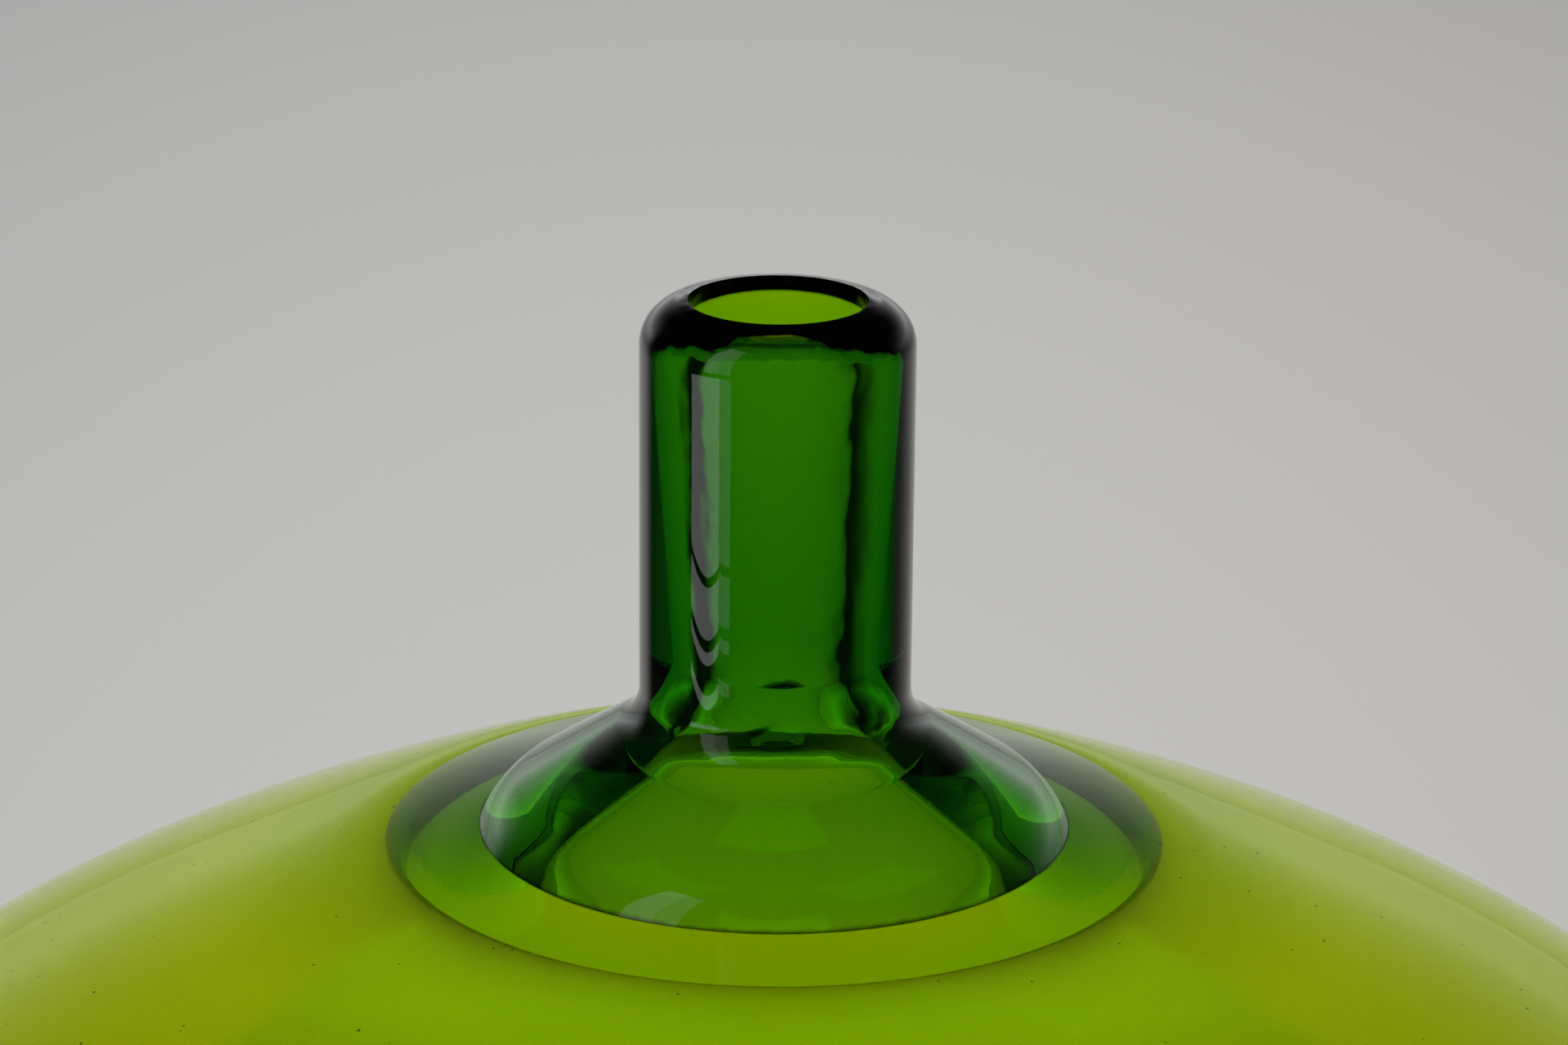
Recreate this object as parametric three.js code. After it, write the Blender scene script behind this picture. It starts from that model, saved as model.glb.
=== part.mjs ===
// A blown glass bottle vase, made of five masses of glass fused hot.
// A dark green neck with a sloping collar stands in a wide globe of three coats of glass:
// a green lining, a yellow overlay and a pale outer casing. All three stand on a thick base pad.
// Millimetres, +Z up, origin in the middle of the foot.
import * as THREE from 'three';

// Globe, outside
const BODY_RADIUS = 154;
const BELLY_HEIGHT = 142; // widest ring above the foot
const SHOULDER_RISE = 123.2; // from the widest ring to the top of the shoulder's ellipse
const SHOULDER_LIFT = 3.8; // the shoulder is drawn up a little towards the neck
const LIFT_REACH = 28;
const MOAT_DEPTH = 0.9; // shallow ring-shaped dip where the shoulder meets the collar
const MOAT_REACH = 7;
const FOOT_RADIUS = 48;

// Coats of glass, from the outside in
const CASING_WALL = 2.4;
const OVERLAY_WALL = 1.5;
const LINING_WALL = 1.5;
const COLLAR_THICKENING = 11.4; // the wall is this much thicker where it meets the collar
const THICK_REACH = 25;
const OVERLAY_SHARE = 0.5; // the overlay's part of the thickening; the lining has the rest
const FUSE_GAP = 0.3; // clearance between masses that are fused on the real vase

// Neck and collar
const NECK_RADIUS = 14;
const NECK_HEIGHT = 56; // rim above the crease round the collar
const LIP_DEPTH = 4.6; // height of the rolled-over lip
const MOUTH_RADIUS = 9.1;
const MOUTH_FLARE = 6; // depth over which the mouth narrows to the bore
const BORE_TOP_RADIUS = 8.4;
const BORE_BOTTOM_RADIUS = 6.8;
const COLLAR_RADIUS = 30.5;
const COLLAR_SLOPE = THREE.MathUtils.degToRad(32);
const COLLAR_FILLET = 5; // hollow round between neck and collar
const COLLAR_EDGE = 5.3; // round over the collar's rim
const FLANGE_RADIUS = 43; // the collar runs on under the casing to here
const THROAT_RISE = 34; // from the lining's inner surface at the flange up to the bore
const THROAT_FULLNESS = 1.45; // 1 is a straight cone, 2 a quarter of an ellipse

// Base pad
const PAD_TOP = 14; // height at which the coats stand on the pad
const FLOOR_DIP = 5; // dished floor inside
const PONTIL_RADIUS = 27; // ground and polished hollow under the foot
const PONTIL_DEPTH = 2.5;

// Fineness of the solids
const SIDES = 40;
const SHOULDER_STEP = 2; // degrees between rings of the shoulder near the collar
const SHOULDER_END = 20;
const BODY_STEP = 10; // degrees between the other rings of the globe
const QUARTER_STEPS = 5;
const THROAT_STEPS = 12;
const HALF_TURN = 180;
const CLOSEST_RINGS = 0.5; // degrees
const NEAR_AXIS = 1; // degrees from the axis at which a search along the shoulder starts
const NORMAL_STEP = 1e-4;
const HALVINGS = 40;

const rad = THREE.MathUtils.degToRad;
const point = (r, z) => new THREE.Vector2(r, z);
const belly = Math.PI / 2;

// Lower half of the globe: an ellipse that meets the floor at the foot's edge
const lowerDrop = BELLY_HEIGHT / Math.sqrt(1 - (FOOT_RADIUS / BODY_RADIUS) ** 2);

// Outside of the globe at an angle from its top (0) over its belly to its foot
function outside(angle) {
  const r = BODY_RADIUS * Math.sin(angle);
  if (angle >= belly) return point(r, BELLY_HEIGHT + lowerDrop * Math.cos(angle));
  const fromCollar = r - COLLAR_RADIUS;
  const lift = SHOULDER_LIFT * Math.exp(-((fromCollar / LIFT_REACH) ** 2));
  const moat = MOAT_DEPTH * Math.exp(-((fromCollar / MOAT_REACH) ** 2));
  return point(r, BELLY_HEIGHT + SHOULDER_RISE * Math.cos(angle) + lift - moat);
}

// How much the wall is thickened at an angle
function thickening(angle) {
  if (angle >= belly) return 0;
  const fromCollar = Math.max(0, outside(angle).x - COLLAR_RADIUS);
  return COLLAR_THICKENING * Math.exp(-((fromCollar / THICK_REACH) ** 2));
}

// The outside set into the wall, by a layer's depth and its share of the thickening
function within(angle, layer) {
  const before = outside(angle - NORMAL_STEP);
  const along = outside(angle + NORMAL_STEP).sub(before).normalize();
  const depth = layer.depth + layer.share * thickening(angle);
  return outside(angle).add(point(along.y, -along.x).multiplyScalar(depth));
}

// The angle between two bounds at which a rising test first holds
function solve(low, high, holds) {
  for (let i = 0; i < HALVINGS; i += 1) {
    const middle = (low + high) / 2;
    if (holds(middle)) high = middle;
    else low = middle;
  }
  return high;
}

const angleAtRadius = (radius, layer) =>
  solve(rad(NEAR_AXIS), belly, (a) => within(a, layer).x >= radius);
const angleAtHeight = (height, layer) =>
  solve(belly, Math.PI, (a) => within(a, layer).y <= height);

// Rings that every coat shares, so that neighbouring coats keep their clearance
function sharedAngles() {
  const angles = [];
  for (let a = SHOULDER_STEP; a <= SHOULDER_END; a += SHOULDER_STEP) angles.push(rad(a));
  for (let a = SHOULDER_END + BODY_STEP; a < HALF_TURN; a += BODY_STEP) angles.push(rad(a));
  return angles;
}

// A run along one layer of the wall, between two angles
function run(from, to, layer) {
  const tooClose = rad(CLOSEST_RINGS);
  const inner = sharedAngles().filter((a) => a > from + tooClose && a < to - tooClose);
  return [from, ...inner, to].map((a) => within(a, layer));
}

// Part of an ellipse, ends included
function arc(centre, acrossRadius, upRadius, fromAngle, toAngle, steps = QUARTER_STEPS) {
  const points = [];
  for (let i = 0; i <= steps; i += 1) {
    const a = fromAngle + ((toAngle - fromAngle) * i) / steps;
    points.push(point(centre.x + acrossRadius * Math.cos(a), centre.y + upRadius * Math.sin(a)));
  }
  return points;
}

// The surfaces of the three coats, from the outside in
const casingTop = { depth: 0, share: 0 };
const casingUnder = { depth: CASING_WALL, share: 0 };
const overlayTop = { depth: casingUnder.depth + FUSE_GAP, share: 0 };
const overlayUnder = { depth: overlayTop.depth + OVERLAY_WALL, share: OVERLAY_SHARE };
const liningTop = { depth: overlayUnder.depth + FUSE_GAP, share: OVERLAY_SHARE };
const liningUnder = { depth: liningTop.depth + LINING_WALL, share: 1 };

const creaseHeight = outside(angleAtRadius(COLLAR_RADIUS, casingTop)).y;
const rimHeight = creaseHeight + NECK_HEIGHT;

// Turns a closed outline, or one that starts and ends on the axis, about +Z
function turned(name, outline, colour, roughness) {
  const geometry = new THREE.LatheGeometry(outline, SIDES);
  geometry.rotateX(Math.PI / 2);
  const material = new THREE.MeshStandardMaterial({ color: colour, roughness, metalness: 0 });
  const mesh = new THREE.Mesh(geometry, material);
  mesh.name = name;
  return mesh;
}

// One coat of the globe between two layers, from its hole at the top down to the pad
function coat(top, under, holeRadius) {
  const seat = PAD_TOP + FUSE_GAP;
  const outer = run(angleAtRadius(holeRadius, top), angleAtHeight(seat, top), top);
  const inner = run(angleAtRadius(holeRadius, under), angleAtHeight(seat, under), under);
  return [...inner, ...outer.reverse(), inner[0].clone()];
}

// Neck wall, hollow fillet, sloping collar and its rounded rim, from the lip down to the crease
function neckOutside() {
  const turn = belly - COLLAR_SLOPE;
  const lipCentre = point(MOUTH_RADIUS, rimHeight - LIP_DEPTH);
  const lip = arc(lipCentre, NECK_RADIUS - MOUTH_RADIUS, LIP_DEPTH, belly, 0);
  const edge = arc(point(COLLAR_RADIUS - COLLAR_EDGE, creaseHeight), COLLAR_EDGE, COLLAR_EDGE, turn, 0);
  const filletEndRadius = NECK_RADIUS + COLLAR_FILLET * (1 - Math.cos(turn));
  const filletEndHeight = edge[0].y + Math.tan(COLLAR_SLOPE) * (edge[0].x - filletEndRadius);
  const filletCentre = point(NECK_RADIUS + COLLAR_FILLET, filletEndHeight + COLLAR_FILLET * Math.sin(turn));
  const filletEnd = Math.PI + turn;
  const fillet = arc(filletCentre, COLLAR_FILLET, COLLAR_FILLET, Math.PI, filletEnd, QUARTER_STEPS - 1);
  return [...lip, ...fillet, ...edge];
}

// The collar's buried flange: its top lies under the casing, out to where the other coats begin
const flangeTop = () =>
  run(angleAtRadius(COLLAR_RADIUS, overlayTop), angleAtRadius(FLANGE_RADIUS, overlayTop), overlayTop);

// The trumpet under the collar, at a radius: it rises from the lining's surface into the bore
function throat(radius) {
  const lining = within(angleAtRadius(radius, liningUnder), liningUnder).y;
  const inward = (FLANGE_RADIUS - radius) / (FLANGE_RADIUS - BORE_BOTTOM_RADIUS);
  const left = (1 - inward ** THROAT_FULLNESS) ** (1 / THROAT_FULLNESS);
  return point(radius, lining + THROAT_RISE * (1 - left));
}

// Throat, bore and mouth, from the flange's edge up to the rim
function neckInside() {
  const points = [];
  for (let i = 0; i <= THROAT_STEPS; i += 1) {
    const inward = Math.sin((belly * i) / THROAT_STEPS);
    points.push(throat(FLANGE_RADIUS - (FLANGE_RADIUS - BORE_BOTTOM_RADIUS) * inward));
  }
  return [...points, point(BORE_TOP_RADIUS, rimHeight - MOUTH_FLARE)];
}

function neck() {
  const outline = [...neckOutside(), ...flangeTop(), ...neckInside()];
  return turned('neck', [...outline, outline[0].clone()].reverse(), 0x1e5a06, 0.03);
}

function outerCasing() {
  const outline = coat(casingTop, casingUnder, COLLAR_RADIUS + FUSE_GAP);
  return turned('outer_casing', outline, 0xbccb4e, 0.03);
}

function yellowOverlay() {
  const outline = coat(overlayTop, overlayUnder, FLANGE_RADIUS + FUSE_GAP);
  return turned('yellow_overlay', outline, 0xa8ab08, 0.05);
}

function greenLining() {
  const outline = coat(liningTop, liningUnder, FLANGE_RADIUS + FUSE_GAP);
  return turned('green_lining', outline, 0x4c8c0c, 0.05);
}

// Thick bottom: dished floor, flat seat for the coats, foot ground flat, polished hollow beneath
function basePad() {
  const floorRadius = within(angleAtHeight(PAD_TOP, liningUnder), liningUnder).x;
  const floor = arc(point(0, PAD_TOP), floorRadius, FLOOR_DIP, -belly, 0);
  const side = run(angleAtHeight(PAD_TOP, casingTop), angleAtHeight(0, casingTop), casingTop);
  const hollow = arc(point(0, 0), PONTIL_RADIUS, PONTIL_DEPTH, 0, belly, QUARTER_STEPS - 1);
  const outline = [...floor, ...side, ...hollow];
  outline[0].x = 0;
  outline[outline.length - 1].x = 0;
  return turned('base_pad', outline.reverse(), 0x3f7a0a, 0.04);
}

const vase = new THREE.Group();
vase.add(neck(), outerCasing(), yellowOverlay(), greenLining(), basePad());

export default vase;
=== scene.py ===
import math

import bmesh
import bpy
from mathutils import Matrix, Vector


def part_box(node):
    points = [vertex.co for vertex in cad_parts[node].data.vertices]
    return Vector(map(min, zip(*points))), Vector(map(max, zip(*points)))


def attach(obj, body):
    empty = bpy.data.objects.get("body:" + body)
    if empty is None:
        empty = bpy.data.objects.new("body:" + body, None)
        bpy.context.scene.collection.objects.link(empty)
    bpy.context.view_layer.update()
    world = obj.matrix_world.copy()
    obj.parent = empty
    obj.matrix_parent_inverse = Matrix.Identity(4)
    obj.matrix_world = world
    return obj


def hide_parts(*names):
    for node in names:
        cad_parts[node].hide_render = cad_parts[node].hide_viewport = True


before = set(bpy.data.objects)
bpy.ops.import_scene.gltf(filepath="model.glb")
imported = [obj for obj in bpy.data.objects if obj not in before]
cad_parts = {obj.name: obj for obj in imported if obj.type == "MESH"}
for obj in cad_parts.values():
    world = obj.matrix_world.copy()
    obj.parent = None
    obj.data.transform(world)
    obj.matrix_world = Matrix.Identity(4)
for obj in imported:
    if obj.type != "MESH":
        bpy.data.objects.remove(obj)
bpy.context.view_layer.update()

# A blown glass bottle vase: a dark green neck and collar in a wide globe of cased glass.
# Lengths are in metres. The outlines repeat the solids' own sizes, with finer curves.

MM = 0.001
BODY = "root"

# Globe, outside
BODY_RADIUS = 154 * MM
BELLY_HEIGHT = 142 * MM  # widest ring above the foot
SHOULDER_RISE = 123.2 * MM  # from the widest ring to the top of the shoulder's ellipse
SHOULDER_LIFT = 3.8 * MM  # the shoulder is drawn up a little towards the neck
LIFT_REACH = 28 * MM
MOAT_DEPTH = 0.9 * MM  # shallow dip where the shoulder meets the collar
MOAT_REACH = 7 * MM
FOOT_RADIUS = 48 * MM

# Coats of the wall, from the outside in
CASING_WALL = 2.4 * MM
OVERLAY_WALL = 1.5 * MM
LINING_WALL = 1.5 * MM
COAT_GAP = 0.3 * MM
LINING_SET_IN = 0.05 * MM  # the lining's inner surface lies this far inside the wall's own
COLLAR_THICKENING = 11.4 * MM  # the wall is this much thicker where it meets the collar
THICK_REACH = 25 * MM
OVERLAY_SHARE = 0.5  # the overlay's part of the thickening; the lining has the rest

# Neck and collar
RIM_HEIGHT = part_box("neck")[1].z
NECK_RADIUS = 14 * MM
LIP_DEPTH = 4.6 * MM
MOUTH_RADIUS = 9.1 * MM
MOUTH_FLARE = 6 * MM  # depth over which the mouth narrows to the bore
BORE_TOP_RADIUS = 8.4 * MM
BORE_BOTTOM_RADIUS = 6.8 * MM
COLLAR_RADIUS = 30.5 * MM
COLLAR_SLOPE = math.radians(32)
COLLAR_FILLET = 5 * MM  # hollow round between neck and collar
COLLAR_EDGE = 10 * MM  # round over the collar's rim
COLLAR_EDGE_END = math.radians(25)  # where that round ends at the crease; at 0 it would be upright
FLANGE_RADIUS = 43 * MM  # the throat starts from the lining here
THROAT_RISE = 34 * MM  # from the lining at the flange's edge up to the bore
THROAT_FULLNESS = 1.45  # 1 is a straight cone, 2 a quarter of an ellipse

# Border of the collar's dark glass and the clear casing: from the crease in and down, then to the throat
SEAM_IN = 2 * MM
SEAM_DIVE = 1.4 * MM
SEAM_RADIUS = 13.5 * MM  # it comes out in the throat here

# Border of the clear casing and the opal glass
CLEAR_RADIUS = 40.3 * MM  # the casing is clear from the crease to here
OPAL_LAP = 3.5 * MM  # the opal glass starts this far under the clear casing's edge
OPAL_EDGE_DEPTH = 4.5 * MM  # it starts this deep in the wall, with this share of the thickening
OPAL_EDGE_SHARE = 0.75
FUSED = 0.1 * MM  # neighbouring masses share this much glass, so that light passes between them

# Base
PAD_TOP = 14 * MM
FLOOR_DIP = 5 * MM
PONTIL_RADIUS = 27 * MM
PONTIL_DEPTH = 2.5 * MM

# Fineness of the meshes
SIDES = 160
RING_STEP = math.radians(2.5)
ARC_STEP = math.radians(7)
FEWEST_RING_STEPS = 2
FEWEST_ARC_STEPS = 3
THROAT_STEPS = 28
EDGE_STEPS = 8
SHARP_ANGLE = math.radians(38)
BELLY = math.pi / 2
TINY_ANGLE = 1e-4
ON_AXIS = 1e-7  # a point this near the axis is on it
HALVINGS = 40

# Lower half of the globe: an ellipse that meets the floor at the foot's edge
LOWER_DROP = BELLY_HEIGHT / math.sqrt(1 - (FOOT_RADIUS / BODY_RADIUS) ** 2)

# Surfaces of the wall: depth below the outside, and share of the thickening
SKIN = (0.0, 0.0)
OVERLAY_TOP = (CASING_WALL + COAT_GAP, 0.0)
OVERLAY_UNDER = (OVERLAY_TOP[0] + OVERLAY_WALL, OVERLAY_SHARE)
LINING_TOP = (OVERLAY_UNDER[0] + COAT_GAP, OVERLAY_SHARE)
LINING_UNDER = (LINING_TOP[0] + LINING_WALL - LINING_SET_IN, 1.0)
WALL = (LINING_TOP[0] + LINING_WALL, 1.0)


# Outlines

def outside(angle):
    """The globe's outer surface, at an angle from its top over its belly to its foot."""
    r = BODY_RADIUS * math.sin(angle)
    if angle >= BELLY:
        return Vector((r, BELLY_HEIGHT + LOWER_DROP * math.cos(angle)))
    from_collar = r - COLLAR_RADIUS
    lift = SHOULDER_LIFT * math.exp(-((from_collar / LIFT_REACH) ** 2))
    moat = MOAT_DEPTH * math.exp(-((from_collar / MOAT_REACH) ** 2))
    return Vector((r, BELLY_HEIGHT + SHOULDER_RISE * math.cos(angle) + lift - moat))


def thickening(angle):
    """How much the wall is thickened at an angle."""
    if angle >= BELLY:
        return 0.0
    from_collar = max(0.0, outside(angle).x - COLLAR_RADIUS)
    return COLLAR_THICKENING * math.exp(-((from_collar / THICK_REACH) ** 2))


def within(angle, layer):
    """The outside set into the wall, by a layer's depth and its share of the thickening."""
    depth, share = layer
    along = (outside(angle + TINY_ANGLE) - outside(angle - TINY_ANGLE)).normalized()
    return outside(angle) + Vector((along.y, -along.x)) * (depth + share * thickening(angle))


def solve(low, high, holds):
    """The angle between two bounds at which a rising test first holds."""
    for _ in range(HALVINGS):
        middle = (low + high) / 2
        if holds(middle):
            high = middle
        else:
            low = middle
    return high


def angle_at_radius(radius, layer):
    return solve(RING_STEP / 2, BELLY, lambda a: within(a, layer).x >= radius)


def angle_at_height(height, layer):
    return solve(BELLY, math.pi, lambda a: within(a, layer).y <= height)


def run(start, end, layer):
    """A run along one layer of the wall, between two angles."""
    count = max(FEWEST_RING_STEPS, math.ceil(abs(end - start) / RING_STEP))
    return [within(start + (end - start) * i / count, layer) for i in range(count + 1)]


def arc(centre, across, up, start, end):
    """Part of an ellipse, ends included."""
    count = max(FEWEST_ARC_STEPS, math.ceil(abs(end - start) / ARC_STEP))
    angles = [start + (end - start) * i / count for i in range(count + 1)]
    return [centre + Vector((across * math.cos(a), up * math.sin(a))) for a in angles]


def crease_point():
    """Where the collar's dark glass meets the casing at the surface."""
    return outside(angle_at_radius(COLLAR_RADIUS, SKIN))


def neck_outside():
    """Lip, neck wall, hollow fillet, sloping collar and its rounded rim."""
    turn = BELLY - COLLAR_SLOPE
    lip_centre = Vector((MOUTH_RADIUS, RIM_HEIGHT - LIP_DEPTH))
    lip = arc(lip_centre, NECK_RADIUS - MOUTH_RADIUS, LIP_DEPTH, BELLY, 0)
    edge_centre = Vector((
        COLLAR_RADIUS - COLLAR_EDGE * math.cos(COLLAR_EDGE_END),
        crease_point().y - COLLAR_EDGE * math.sin(COLLAR_EDGE_END),
    ))
    edge = arc(edge_centre, COLLAR_EDGE, COLLAR_EDGE, turn, COLLAR_EDGE_END)
    end_radius = NECK_RADIUS + COLLAR_FILLET * (1 - math.cos(turn))
    end_height = edge[0].y + math.tan(COLLAR_SLOPE) * (edge[0].x - end_radius)
    centre = Vector((NECK_RADIUS + COLLAR_FILLET, end_height + COLLAR_FILLET * math.sin(turn)))
    fillet = arc(centre, COLLAR_FILLET, COLLAR_FILLET, math.pi, math.pi + turn)
    return lip + fillet + edge


def throat(radius):
    """The inner surface under the collar: it rises from the globe's lining into the bore."""
    lining = within(angle_at_radius(radius, WALL), WALL).y
    inward = max(0.0, (FLANGE_RADIUS - radius) / (FLANGE_RADIUS - BORE_BOTTOM_RADIUS))
    left = max(0.0, 1 - inward ** THROAT_FULLNESS) ** (1 / THROAT_FULLNESS)
    return Vector((radius, lining + THROAT_RISE * (1 - left)))


def throat_run(start, end):
    """The throat between two radii, with its points closer together towards the end."""
    turns = [BELLY * i / THROAT_STEPS for i in range(THROAT_STEPS + 1)]
    return [throat(start + (end - start) * math.sin(turn)) for turn in turns]


def seam_knee(lap=0.0):
    """The corner of the border between the collar's dark glass and the casing, under the crease."""
    return crease_point() + Vector((-SEAM_IN - lap, lap - SEAM_DIVE))


def neck_outline():
    """Neck and collar, from the lip over the crease, the seam and the throat to the mouth."""
    bore_top = Vector((BORE_TOP_RADIUS, RIM_HEIGHT - MOUTH_FLARE))
    return neck_outside() + [seam_knee()] + throat_run(SEAM_RADIUS, BORE_BOTTOM_RADIUS) + [bore_top]


def opal_edge(lap=0.0):
    """The opal glass's rounded edge, from deep in the wall up to its surface, under clear casing."""
    edge = []
    for i in range(EDGE_STEPS + 1):
        inward = 1 - i / EDGE_STEPS
        radius = CLEAR_RADIUS - OPAL_LAP * inward
        layer = (OPAL_EDGE_DEPTH * inward ** 2 + lap, OPAL_EDGE_SHARE * inward ** 2)
        edge.append(within(angle_at_radius(radius, layer), layer))
    return edge


def ring_outline():
    """The clear part of the casing, beside the collar. It thins out over the opal glass."""
    hole = COLLAR_RADIUS - FUSED
    top = run(angle_at_radius(hole, SKIN), angle_at_radius(CLEAR_RADIUS, SKIN), SKIN)
    under = throat_run(CLEAR_RADIUS - OPAL_LAP, SEAM_RADIUS - FUSED)
    return top + opal_edge(FUSED)[-2::-1] + under + [seam_knee(FUSED)]


def globe_outline():
    """The opal wall, from under the clear casing down to the base pad."""
    seat = PAD_TOP - FUSED
    outer = run(angle_at_radius(CLEAR_RADIUS, SKIN), angle_at_height(seat, SKIN), SKIN)
    inner = run(angle_at_height(seat, WALL), angle_at_radius(FLANGE_RADIUS, WALL), WALL)
    return opal_edge() + outer[1:] + inner + throat_run(FLANGE_RADIUS, CLEAR_RADIUS - OPAL_LAP)[1:]


def coat_outline(top, under):
    """A coat that lies inside the wall, between two of its surfaces."""
    hole = FLANGE_RADIUS + OPAL_LAP
    seat = PAD_TOP + FUSED
    outer = run(angle_at_radius(hole, top), angle_at_height(seat, top), top)
    inner = run(angle_at_height(seat, under), angle_at_radius(hole, under), under)
    return outer + inner


def base_outline():
    """Dished floor, seat, side, ground foot ring and polished hollow."""
    floor_radius = within(angle_at_height(PAD_TOP, WALL), WALL).x
    floor = arc(Vector((0, PAD_TOP)), floor_radius, FLOOR_DIP, -BELLY, 0)
    side = run(angle_at_height(PAD_TOP, SKIN), angle_at_height(0, SKIN), SKIN)
    hollow = arc(Vector((0, 0)), PONTIL_RADIUS, PONTIL_DEPTH, 0, BELLY)
    outline = floor + side + hollow
    outline[0].x = 0
    outline[-1].x = 0
    return outline


# Meshes

def mesh_object(name, bm):
    """Puts a finished mesh into the scene as an object."""
    mesh = bpy.data.meshes.new(name)
    bm.to_mesh(mesh)
    bm.free()
    thing = bpy.data.objects.new(name, mesh)
    bpy.context.scene.collection.objects.link(thing)
    return thing


def lathe(name, outline):
    """A closed mesh turned about +Z from an outline that closes on itself or ends on the axis."""
    bm = bmesh.new()
    turns = [2 * math.pi * i / SIDES for i in range(SIDES)]
    rings = []
    for p in outline:
        if p.x < ON_AXIS:
            rings.append([bm.verts.new((0, 0, p.y))])
        else:
            rings.append([bm.verts.new((p.x * math.cos(t), p.x * math.sin(t), p.y)) for t in turns])
    pairs = list(zip(rings, rings[1:]))
    if len(rings[0]) > 1:
        pairs.append((rings[-1], rings[0]))
    for a, b in pairs:
        for i in range(SIDES):
            corners = [a[i % len(a)], a[(i + 1) % len(a)], b[(i + 1) % len(b)], b[i % len(b)]]
            bm.faces.new(list(dict.fromkeys(corners)))
    bmesh.ops.recalc_face_normals(bm, faces=bm.faces)
    piece = mesh_object(name, bm)
    piece.data.shade_smooth()
    piece.data.set_sharp_from_angle(angle=SHARP_ANGLE)
    return piece


# Node helpers

NUMBER = "NodeSocketFloat"
COLOUR = "NodeSocketColor"


def new_material(name):
    material = bpy.data.materials.new(name)
    material.use_nodes = True
    material.node_tree.nodes.clear()
    return material


def feed(tree, socket, value):
    """Links a socket to another node's socket, or gives it a plain number, colour or vector."""
    if isinstance(value, bpy.types.NodeSocket):
        tree.links.new(value, socket)
    elif socket.type == "RGBA":
        socket.default_value = (*value, 1)
    else:
        socket.default_value = value


def add(tree, kind, **inputs):
    """A new node. Each argument feeds the input of that name, with _ for a space."""
    node = tree.nodes.new(kind)
    for key, value in inputs.items():
        feed(tree, node.inputs[key.replace("_", " ")], value)
    return node


def maths(tree, operation, *values):
    """A maths node's result, from sockets or plain numbers."""
    node = tree.nodes.new("ShaderNodeMath")
    node.operation = operation
    for socket, value in zip(node.inputs, values):
        feed(tree, socket, value)
    return node.outputs["Value"]


def inverse(tree, mask):
    return maths(tree, "SUBTRACT", 1.0, mask)


def distance(tree, x, y):
    squares = maths(tree, "ADD", maths(tree, "MULTIPLY", x, x), maths(tree, "MULTIPLY", y, y))
    return maths(tree, "SQRT", squares)


def blend_between(tree, value, low, high):
    """0 below low, 1 above high, smooth between them."""
    node = add(tree, "ShaderNodeMapRange", Value=value, From_Min=low, From_Max=high)
    node.interpolation_type = "SMOOTHSTEP"
    return node.outputs["Result"]


def mix_colours(tree, mask, a, b, way="MIX"):
    """Colour a where the mask is 0, and b mixed or multiplied in where it is 1."""
    node = tree.nodes.new("ShaderNodeMix")
    node.data_type = "RGBA"
    node.blend_type = way
    for name, value in (("Factor", mask), ("A", a), ("B", b)):
        feed(tree, node.inputs[name], value)
    return node.outputs["Result"]


def coordinates(tree, kind="Object"):
    """The X, Y and Z of a kind of texture coordinate."""
    source = tree.nodes.new("ShaderNodeTexCoord")
    split = add(tree, "ShaderNodeSeparateXYZ", Vector=source.outputs[kind])
    return split.outputs["X"], split.outputs["Y"], split.outputs["Z"]


def object_noise(tree, scale, detail, stretch=(1, 1, 1)):
    """Cloudy noise that is fixed to the piece."""
    source = tree.nodes.new("ShaderNodeTexCoord")
    stretched = add(tree, "ShaderNodeMapping", Vector=source.outputs["Object"], Scale=stretch)
    noise = add(tree, "ShaderNodeTexNoise", Vector=stretched.outputs["Vector"], Scale=scale, Detail=detail)
    return noise.outputs["Fac"]


def finish_material(tree, surface, volume=None):
    """Gives a material its surface shader and, for glass, its inside."""
    out = add(tree, "ShaderNodeOutputMaterial", Surface=surface.outputs["BSDF"])
    if volume:
        feed(tree, out.inputs["Volume"], volume.outputs["Volume"])


def new_group(name, inputs, outputs):
    """An empty shader node group with named sockets, and its two end nodes."""
    group = bpy.data.node_groups.new(name, "ShaderNodeTree")
    for label, kind in inputs.items():
        group.interface.new_socket(name=label, in_out="INPUT", socket_type=kind)
    for label, kind in outputs.items():
        group.interface.new_socket(name=label, in_out="OUTPUT", socket_type=kind)
    return group, group.nodes.new("NodeGroupInput"), group.nodes.new("NodeGroupOutput")


def use_group(tree, group, **inputs):
    """Places a group, with its own values for the group's inputs. Returns its outputs."""
    node = tree.nodes.new("ShaderNodeGroup")
    node.node_tree = group
    for key, value in inputs.items():
        feed(tree, node.inputs[key.replace("_", " ")], value)
    return node.outputs


# Effects that the kinds of glass share

CLOUD_DETAIL = 2.0
FINE_DETAIL = 3.0
CORDS_PER_METRE = 120.0
CORD_STRETCH = (1, 1, 0.15)
CORD_RANGE = (0.35, 0.7)  # of the noise, from clear glass to full cord
RIPPLES_PER_METRE = 160.0
RIPPLE_STRETCH = (1, 1, 0.6)
RIPPLE_FADE = 1.5 * MM  # they fade out over this much beyond the mouth's radius
GRIME_PER_METRE = 500.0
GRIME_WIDTH = 0.55 * MM
SPECK_CELLS_PER_METRE = 550.0
SPECK_SHARE = 0.5  # of the cells hold a speck, large or hardly there
SPECK_REACH = 0.11  # radius of the largest, in cells
GROUND_REACH = 0.2 * MM  # the ground finish ends this far up, and this far into the hollow


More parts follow.
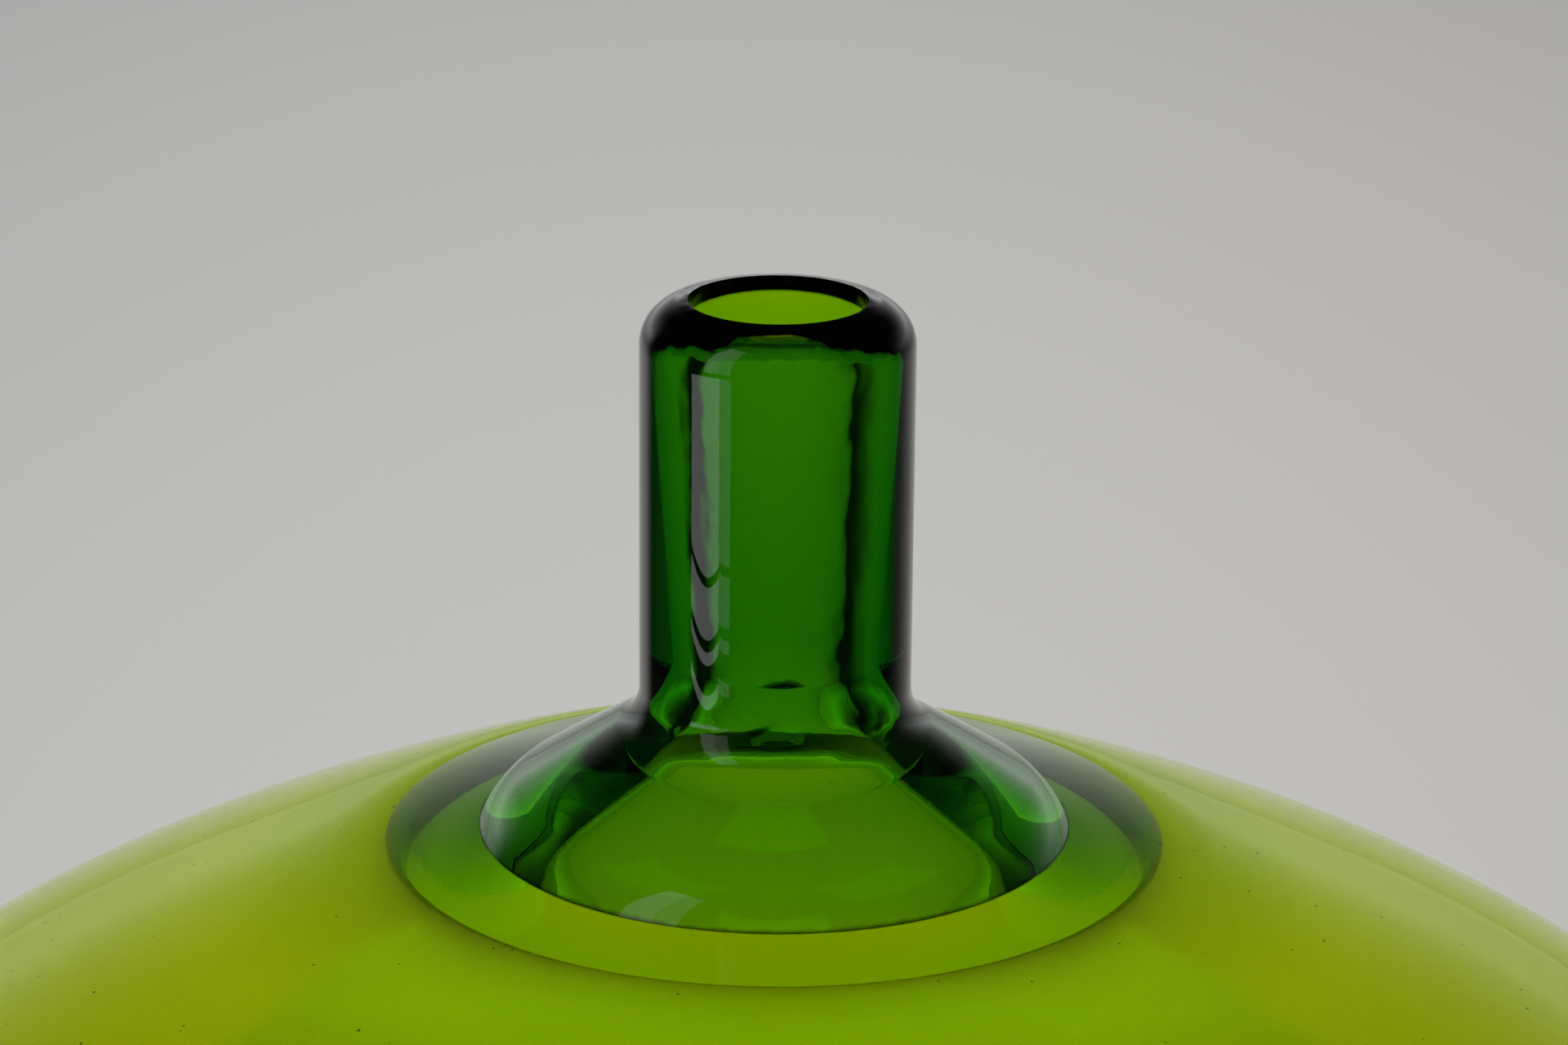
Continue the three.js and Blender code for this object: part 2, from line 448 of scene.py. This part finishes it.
def build_place_group():
    """Distance from the vase's axis, and the angle away from its front to either side."""
    group, _, end = new_group("Place round the axis", {}, {"Radius": NUMBER, "Angle": NUMBER})
    x, y, _ = coordinates(group)
    aside = maths(group, "ABSOLUTE", x)
    forward = maths(group, "MULTIPLY", y, -1.0)
    feed(group, end.inputs["Radius"], distance(group, x, y))
    feed(group, end.inputs["Angle"], maths(group, "ARCTAN2", aside, forward))
    return group


def build_cord_group():
    """Cords: long faint streaks of slightly different glass, drawn out along the axis."""
    group, start, end = new_group(
        "Cords in the glass", {"Clear": COLOUR, "Corded": COLOUR}, {"Color": COLOUR}
    )
    noise = object_noise(group, CORDS_PER_METRE, CLOUD_DETAIL, CORD_STRETCH)
    streaks = blend_between(group, noise, *CORD_RANGE)
    colour = mix_colours(group, streaks, start.outputs["Clear"], start.outputs["Corded"])
    feed(group, end.inputs["Color"], colour)
    return group


def build_ripple_group(place):
    """Ripples on the wall of the bore, where no mould or tool has touched the glass."""
    group, _, end = new_group("Ripples in the bore", {}, {"Height": NUMBER})
    radius = use_group(group, place)["Radius"]
    outward = blend_between(group, radius, MOUTH_RADIUS, MOUTH_RADIUS + RIPPLE_FADE)
    noise = object_noise(group, RIPPLES_PER_METRE, CLOUD_DETAIL, RIPPLE_STRETCH)
    feed(group, end.inputs["Height"], maths(group, "MULTIPLY", noise, inverse(group, outward)))
    return group


def build_crease_group(place):
    """Grime along the crease round the collar, in a thin line of uneven width."""
    group, start, end = new_group(
        "Grime in the crease", {"Glass": COLOUR, "Grime": COLOUR}, {"Color": COLOUR}
    )
    radius = use_group(group, place)["Radius"]
    _, _, height = coordinates(group)
    outer = maths(group, "GREATER_THAN", height, crease_point().y - SEAM_DIVE)
    aside = maths(group, "ABSOLUTE", maths(group, "SUBTRACT", radius, COLLAR_RADIUS))
    uneven = maths(group, "MULTIPLY", object_noise(group, GRIME_PER_METRE, FINE_DETAIL), GRIME_WIDTH)
    line = inverse(group, blend_between(group, aside, 0.0, uneven))
    mask = maths(group, "MULTIPLY", line, outer)
    colour = mix_colours(group, mask, start.outputs["Glass"], start.outputs["Grime"])
    feed(group, end.inputs["Color"], colour)
    return group


def build_speck_group():
    """Specks of dust: small dots in some cells of a cell pattern."""
    group, start, end = new_group(
        "Specks of dust", {"Glass": COLOUR, "Speck": COLOUR}, {"Color": COLOUR}
    )
    source = group.nodes.new("ShaderNodeTexCoord")
    cells = add(
        group, "ShaderNodeTexVoronoi", Vector=source.outputs["Object"], Scale=SPECK_CELLS_PER_METRE
    )
    chance = add(group, "ShaderNodeSeparateColor", Color=cells.outputs["Color"])
    drawn = maths(group, "SUBTRACT", chance.outputs["Red"], 1 - SPECK_SHARE)
    reach = maths(group, "MULTIPLY", drawn, SPECK_REACH / SPECK_SHARE)
    dot = maths(group, "LESS_THAN", cells.outputs["Distance"], reach)
    colour = mix_colours(group, dot, start.outputs["Glass"], start.outputs["Speck"])
    feed(group, end.inputs["Color"], colour)
    return group


def build_ground_group(place):
    """The roughness of the ground ring that the vase stands on, and 0 elsewhere."""
    group, start, end = new_group("Ground foot ring", {"Ground": NUMBER}, {"Roughness": NUMBER})
    radius = use_group(group, place)["Radius"]
    _, _, height = coordinates(group)
    low = maths(group, "LESS_THAN", height, GROUND_REACH)
    ring = maths(group, "GREATER_THAN", radius, PONTIL_RADIUS - GROUND_REACH)
    mask = maths(group, "MULTIPLY", low, ring)
    feed(group, end.inputs["Roughness"], maths(group, "MULTIPLY", mask, start.outputs["Ground"]))
    return group


def build_groups():
    place = build_place_group()
    return {
        "place": place,
        "cords": build_cord_group(),
        "ripple": build_ripple_group(place),
        "crease": build_crease_group(place),
        "specks": build_speck_group(),
        "ground": build_ground_group(place),
    }


# Clear glass: the colour that it leaves in the light, and how fast it takes the rest

GLASS_IOR = 1.5
NO_BEND = 1.0  # coats inside the wall are fused to it and bend no light
NECK_TINT = ((0.829, 0.94, 0.0), 1500)
CASING_TINT = ((0.905, 0.98, 0.0), 500)
OVERLAY_TINT = ((0.938, 0.972, 0.0), 200)
LINING_TINT = ((0.938, 0.972, 0.3), 200)
BASE_TINT = ((0.8, 0.9, 0.0), 300)
CLEAR = (1, 1, 1)
CORDED = (0.985, 0.99, 0.97)
BASE_CLEAR = (0.9, 0.97, 0.7)
BASE_CORDED = (0.88, 0.96, 0.68)
GRIME = (0.03, 0.035, 0.01)
RIPPLE_HEIGHT = 0.45 * MM
GROUND_ROUGHNESS = 0.45


def clear_glass(name, tint, groups, ior=GLASS_IOR, clear=CLEAR, corded=CORDED, grime=False):
    """Solid glass with faint cords at its surface, and colour that deepens with thickness."""
    material = new_material(name)
    tree = material.node_tree
    colour = use_group(tree, groups["cords"], Clear=clear, Corded=corded)["Color"]
    if grime:
        colour = use_group(tree, groups["crease"], Glass=colour, Grime=GRIME)["Color"]
    surface = add(
        tree, "ShaderNodeBsdfPrincipled",
        Base_Color=colour, Roughness=0.0, IOR=ior, Transmission_Weight=1.0,
    )
    absorbed, density = tint
    volume = add(tree, "ShaderNodeVolumeAbsorption", Color=absorbed, Density=density)
    finish_material(tree, surface, volume)
    return material, tree, surface


def neck_glass(groups):
    """Dark green glass with ripples in the bore."""
    material, tree, surface = clear_glass("Dark green neck glass", NECK_TINT, groups, grime=True)
    ripples = use_group(tree, groups["ripple"])["Height"]
    bump = add(tree, "ShaderNodeBump", Strength=1.0, Distance=RIPPLE_HEIGHT, Height=ripples)
    feed(tree, surface.inputs["Normal"], bump.outputs["Normal"])
    return material


def casing_glass(groups):
    return clear_glass("Clear casing glass", CASING_TINT, groups, grime=True)[0]


def overlay_glass(groups):
    return clear_glass("Yellow overlay glass", OVERLAY_TINT, groups, ior=NO_BEND)[0]


def lining_glass(groups):
    return clear_glass("Green lining glass", LINING_TINT, groups, ior=NO_BEND)[0]


def base_glass(groups):
    """Green glass, matt where the foot ring is ground."""
    material, tree, surface = clear_glass(
        "Base glass", BASE_TINT, groups, clear=BASE_CLEAR, corded=BASE_CORDED
    )
    roughness = use_group(tree, groups["ground"], Ground=GROUND_ROUGHNESS)["Roughness"]
    feed(tree, surface.inputs["Roughness"], roughness)
    return material


# Opal glass of the globe

# painted shadow: the collar's green shadow, painted on the front of the shoulder as a darker, greener lime
LIME_FRONT_PAINTED_SHADOW = (0.2, 0.36, 0)
LIME_SIDE = (0.285, 0.395, 0)
LIME_NEAR_FRONT_PAINTED_LIGHT = (0.22, 0.43, 0)  # painted light in front, near the clear ring
# painted shade at the sides, near the clear ring
LIME_NEAR_SIDE_PAINTED_SHADE = (0.195, 0.305, 0)
LIME_EDGE_PAINTED_SHADE = (0.14, 0.27, 0)  # painted shade under the clear ring's edge
EDGE_FADE = 3 * MM
PAINTED_SHADOW_SECTOR = math.radians(58)  # painted shadow of the collar: the opal glass is painted greener this far to each side of its front
SECTOR_EDGE = math.radians(3)
RAGGED_PER_METRE = 70.0  # the sector's border is uneven
RAGGED_REACH = 0.16  # radians
NOISE_MIDDLE = 0.5
PAINTED_SHADOW_HEIGHTS = (200 * MM, 240 * MM)  # it turns greener between these, so the painted shadow lies only on the shoulder
PAINTED_GLOW = (0.05, 0.115, 0)  # painted glow: light from inside, painted as emission in front, beside the clear ring
GLOW_RADIUS = 62 * MM  # the painted glow and the painted light and shade near the clear ring reach out to here
GLOW_SECTOR = (math.radians(15), math.radians(70))  # the glow fades out between these angles
GLOW_FADE = 1.5 * MM
BLACK = (0, 0, 0)
SPECK = (0.02, 0.03, 0.005)


def out_of_painted_shadow(tree, angle):
    """0 in the painted shadow on the front of the shoulder, 1 at its sides and further down the globe."""
    cloud = maths(tree, "SUBTRACT", object_noise(tree, RAGGED_PER_METRE, FINE_DETAIL), NOISE_MIDDLE)
    ragged = maths(tree, "ADD", angle, maths(tree, "MULTIPLY", cloud, RAGGED_REACH))
    beside = blend_between(tree, ragged, PAINTED_SHADOW_SECTOR - SECTOR_EDGE, PAINTED_SHADOW_SECTOR + SECTOR_EDGE)
    _, _, height = coordinates(tree)
    below = inverse(tree, blend_between(tree, height, *PAINTED_SHADOW_HEIGHTS))
    return maths(tree, "MAXIMUM", beside, below)


def lime_colour(tree, radius, angle):
    """Greener in front, where a painted shadow of the collar lies, and yellower at the sides; near the
    clear ring, painted light in front and painted shade at the sides, and a darker edge of painted shade.
    """
    side = out_of_painted_shadow(tree, angle)
    far = mix_colours(tree, side, LIME_FRONT_PAINTED_SHADOW, LIME_SIDE)
    near = mix_colours(tree, side, LIME_NEAR_FRONT_PAINTED_LIGHT, LIME_NEAR_SIDE_PAINTED_SHADE)
    # near the clear ring: painted light in front and painted shade at the sides
    lime = mix_colours(tree, blend_between(tree, radius, CLEAR_RADIUS, GLOW_RADIUS), near, far)
    # painted shade: the glass is painted darker under the clear ring's edge
    opal = blend_between(tree, radius, CLEAR_RADIUS - EDGE_FADE, CLEAR_RADIUS + EDGE_FADE)
    return mix_colours(tree, opal, LIME_EDGE_PAINTED_SHADE, lime)


def glow_colour(tree, radius, angle):
    """Painted glow, as of faint light from inside the globe, in front, just outside the clear ring."""
    outward = blend_between(tree, radius, CLEAR_RADIUS, GLOW_RADIUS)
    lit = inverse(tree, maths(tree, "MAXIMUM", outward, blend_between(tree, angle, *GLOW_SECTOR)))
    outer = blend_between(tree, radius, CLEAR_RADIUS - GLOW_FADE, CLEAR_RADIUS + GLOW_FADE)
    return mix_colours(tree, maths(tree, "MULTIPLY", lit, outer), BLACK, PAINTED_GLOW)


def opal_glass(groups):
    """Lime opal glass under a clear gloss, with painted shadow, painted light and shade and a painted glow
    in its colour.
    """
    material = new_material("Lime opal glass")
    tree = material.node_tree
    place = use_group(tree, groups["place"])
    lime = lime_colour(tree, place["Radius"], place["Angle"])
    surface = add(
        tree, "ShaderNodeBsdfPrincipled",
        Base_Color=use_group(tree, groups["specks"], Glass=lime, Speck=SPECK)["Color"],
        Roughness=0.5, IOR=1.1, Transmission_Weight=0.35,
        Specular_IOR_Level=0.0, Specular_Tint=(0.2, 0.3, 0),
        Subsurface_Weight=1.0, Subsurface_Scale=0.1, Subsurface_Radius=(1.0, 1.0, 0.004),
        Coat_Weight=1.0, Coat_Roughness=0.0, Coat_IOR=1.12,
        Emission_Color=glow_colour(tree, place["Radius"], place["Angle"]), Emission_Strength=1.0,
    )
    volume = add(tree, "ShaderNodeVolumeAbsorption", Color=(0.88, 0.95, 0.0), Density=20.0)
    finish_material(tree, surface, volume)
    return material


# The vase's pieces

def add_piece(name, outline, material, slot, *nodes):
    """Turns a piece, gives it its glass and its body, and hides the CAD nodes that it stands for. The slot
    is not used.
    """
    piece = lathe(name, outline)
    piece.data.materials.append(material)
    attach(piece, BODY)
    if nodes:
        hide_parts(*nodes)


def build_vase():
    groups = build_groups()
    overlay = coat_outline(OVERLAY_TOP, OVERLAY_UNDER)
    lining = coat_outline(LINING_TOP, LINING_UNDER)
    add_piece("neck_glass", neck_outline(), neck_glass(groups), "neck_glass", "neck")
    add_piece("casing_ring", ring_outline(), casing_glass(groups), "casing_glass")
    add_piece("globe_wall", globe_outline(), opal_glass(groups), "casing_glass", "outer_casing")
    add_piece("overlay_coat", overlay, overlay_glass(groups), "overlay_glass", "yellow_overlay")
    add_piece("lining_coat", lining, lining_glass(groups), "lining_glass", "green_lining")
    add_piece("base_glass", base_outline(), base_glass(groups), "base_glass", "base_pad")


# Camera, at the photograph's viewing angle

CAMERA_DISTANCE = 481.6 * MM
CAMERA_ABOVE_RIM = 135.8 * MM
CAMERA_YAW = 0.0016
CAMERA_PITCH = 0.3196
CAMERA_ROLL = 0.0087
FRAME_WIDTH = 1920
FOCAL_PIXELS = 6100
SENSOR_WIDTH = 36.0
CAMERA_NEAR = 0.01


def make_camera():
    ahead = Vector((
        math.sin(CAMERA_YAW) * math.cos(CAMERA_PITCH),
        math.cos(CAMERA_YAW) * math.cos(CAMERA_PITCH),
        -math.sin(CAMERA_PITCH),
    ))
    level_right = ahead.cross(Vector((0, 0, 1))).normalized()
    level_up = level_right.cross(ahead)
    right = level_right * math.cos(CAMERA_ROLL) + level_up * math.sin(CAMERA_ROLL)
    up = level_up * math.cos(CAMERA_ROLL) - level_right * math.sin(CAMERA_ROLL)
    place = Vector((0, -CAMERA_DISTANCE, RIM_HEIGHT + CAMERA_ABOVE_RIM))
    data = bpy.data.cameras.new("Camera")
    data.sensor_width = SENSOR_WIDTH
    data.lens = FOCAL_PIXELS / FRAME_WIDTH * SENSOR_WIDTH
    data.clip_start = CAMERA_NEAR
    camera = bpy.data.objects.new("Camera", data)
    camera.matrix_world = Matrix((
        (right.x, up.x, -ahead.x, place.x),
        (right.y, up.y, -ahead.y, place.y),
        (right.z, up.z, -ahead.z, place.z),
        (0, 0, 0, 1),
    ))
    bpy.context.scene.collection.objects.link(camera)
    bpy.context.scene.camera = camera


# Studio: a pale paper floor and sweep, two softboxes and a side window

FLOOR_RADIUS = 6.0
FLOOR_CORNERS = 96
# painted pool of light: the paper is painted paler near a place behind the vase and greyer away from it
FLOOR_IN_PAINTED_LIGHT = (0.489, 0.486, 0.477)
FLOOR_OUT_OF_PAINTED_LIGHT = (0.385, 0.384, 0.38)
FLOOR_BRIGHTEST = 0.6  # the painted pool of light is brightest this far behind the vase
FLOOR_FADE = (0.1, 2.0)  # distances from there over which the painted pool of light fades and the paper darkens
FLOOR_SIDE_FADE = 3.3  # the painted light fades this much faster to the sides
FLOOR_COLD = (1, 1, 1)
FLOOR_WARM = (1.0, 0.985, 0.95)
WARM_SPAN = (-0.3, 0.45)  # it turns warmer from left to right between these places
FLOOR_BOUNCE = (0.8, 0.8, 0.8)  # the light that it gives back to the vase
ROOM_DARK = (0.012, 0.012, 0.012)  # what glass sees beyond the sweep
DOME_LIGHT = (0.75, 0.75, 0.75)
# The pale sweep behind the vase fades out between these angles from straight back
SWEEP_LEFT = (math.radians(38), math.radians(56))
SWEEP_RIGHT = (math.radians(18), math.radians(74))
# Upward part of a direction, and the sweep's grey there
SWEEP_HEIGHTS = (
    (0.0, 0.56), (0.1, 0.9), (0.2, 0.5), (0.27, 0.3), (0.33, 0.14), (0.4, 0.05), (0.47, 0.008),
)
# Softboxes: name, place, what each points at, and width and depth
SOFTBOXES = (
    ("Top softbox", (0, -0.9, 2.4), (0, 0.1, 0), (1.8, 1.0)),
    ("Back sweep lamp", (0, 1.2, 2.6), (0, 1.2, 0), (2.4, 1.2)),
)
SOFTBOX_POWER = 16
# Side window: the lowest and highest edge of its panes
LOW_PANES = ((0.0469, 0.051), (0.0595, 0.0634), (0.0668, 0.0818), (0.0847, 0.15))
HIGH_PANE = (0.26, 1.5)
# and the place, width, power for each square metre and panes of each part of it
WINDOW_PARTS = (
    ((-0.656, -0.364), 0.35, 4.6, LOW_PANES),
    ((-0.614, -0.43), 0.18, 2.6, (HIGH_PANE,)),
    ((-0.527, -0.567), 0.13, 1.6, (*LOW_PANES, HIGH_PANE)),
)


def light_path(tree):
    return tree.nodes.new("ShaderNodeLightPath").outputs


def seen_in_glass(tree, path):
    """1 for a ray that comes from a reflection or through glass."""
    return maths(tree, "MAXIMUM", path["Is Glossy Ray"], path["Is Transmission Ray"])


def outside_sweep(tree, x, y):
    """1 where a direction or place lies beyond the pale sweep behind the vase, as glass sees it."""
    turn = maths(tree, "ARCTAN2", x, y)
    right = blend_between(tree, turn, *SWEEP_RIGHT)
    left = blend_between(tree, maths(tree, "MULTIPLY", turn, -1.0), *SWEEP_LEFT)
    path = light_path(tree)
    seen = maths(tree, "MULTIPLY", seen_in_glass(tree, path), inverse(tree, path["Is Camera Ray"]))
    return maths(tree, "MULTIPLY", maths(tree, "MAXIMUM", left, right), seen)


def floor_paper():
    """Pale paper with a painted pool of light, brightest behind the vase, that only the camera sees, and a
    little warmer to the right.
    """
    material = new_material("Pale paper floor")
    tree = material.node_tree
    x, y, _ = coordinates(tree)
    path = light_path(tree)
    back = maths(tree, "SUBTRACT", y, FLOOR_BRIGHTEST)
    aside = maths(tree, "MULTIPLY", x, FLOOR_SIDE_FADE)
    # painted pool of light, for camera rays only
    fade = blend_between(tree, distance(tree, back, aside), *FLOOR_FADE)
    fade = maths(tree, "MULTIPLY", fade, path["Is Camera Ray"])
    pale = mix_colours(tree, fade, FLOOR_IN_PAINTED_LIGHT, FLOOR_OUT_OF_PAINTED_LIGHT)
    warmth = mix_colours(tree, blend_between(tree, x, *WARM_SPAN), FLOOR_COLD, FLOOR_WARM)
    paper = mix_colours(tree, 1.0, pale, warmth, "MULTIPLY")
    colour = mix_colours(tree, outside_sweep(tree, x, y), paper, ROOM_DARK)
    colour = mix_colours(tree, path["Is Diffuse Ray"], colour, FLOOR_BOUNCE)
    surface = add(
        tree, "ShaderNodeBsdfPrincipled", Base_Color=colour, Roughness=0.9, Specular_IOR_Level=0.1
    )
    finish_material(tree, surface)
    return material


def make_floor():
    bm = bmesh.new()
    bmesh.ops.create_circle(bm, cap_ends=True, radius=FLOOR_RADIUS, segments=FLOOR_CORNERS)
    floor = mesh_object("floor", bm)
    floor.data.materials.append(floor_paper())


def make_world():
    """A plain dome that lights the vase, and the sweep that the camera and the glass see."""
    world = bpy.data.worlds.new("Studio")
    bpy.context.scene.world = world
    world.use_nodes = True
    tree = world.node_tree
    tree.nodes.clear()
    x, y, z = coordinates(tree, "Generated")
    ramp = add(tree, "ShaderNodeValToRGB", Fac=z)
    stops = ramp.color_ramp.elements
    stops.remove(stops[1])
    for index, (height, grey) in enumerate(SWEEP_HEIGHTS):
        stop = stops.new(height) if index else stops[0]
        stop.color = (grey, grey, grey, 1)
    backdrop = mix_colours(tree, outside_sweep(tree, x, y), ramp.outputs["Color"], ROOM_DARK)
    path = light_path(tree)
    seen = maths(tree, "MAXIMUM", seen_in_glass(tree, path), path["Is Camera Ray"])
    colour = mix_colours(tree, seen, DOME_LIGHT, backdrop)
    light = add(tree, "ShaderNodeBackground", Color=colour, Strength=1.0)
    add(tree, "ShaderNodeOutputWorld", Surface=light.outputs["Background"])


def area_lamp(name, place, target, size, power):
    """A rectangular lamp that points at a target."""
    data = bpy.data.lights.new(name, "AREA")
    data.shape = "RECTANGLE"
    data.size, data.size_y = size
    data.energy = power
    lamp = bpy.data.objects.new(name, data)
    lamp.location = place
    aim = Vector(target) - Vector(place)
    lamp.rotation_euler = aim.to_track_quat("-Z", "Y").to_euler()
    bpy.context.scene.collection.objects.link(lamp)
    return lamp


def light_studio():
    for name, place, target, size in SOFTBOXES:
        area_lamp(name, place, target, size, SOFTBOX_POWER).visible_glossy = False
    for (x, y), width, glow, panes in WINDOW_PARTS:
        for low, high in panes:
            middle = (low + high) / 2
            size = (width, high - low)
            power = glow * width * (high - low)
            pane = area_lamp("Window pane", (x, y, middle), (0, 0, middle), size, power)
            pane.visible_transmission = False


# Glass passes light on many times
LIGHT_BOUNCES = 40
TRANSPARENT_BOUNCES = 16

scene = bpy.context.scene
scene.view_settings.view_transform = "Standard"
scene.cycles.max_bounces = LIGHT_BOUNCES
scene.cycles.transmission_bounces = LIGHT_BOUNCES
scene.cycles.transparent_max_bounces = TRANSPARENT_BOUNCES
make_camera()
make_floor()
make_world()
light_studio()
build_vase()
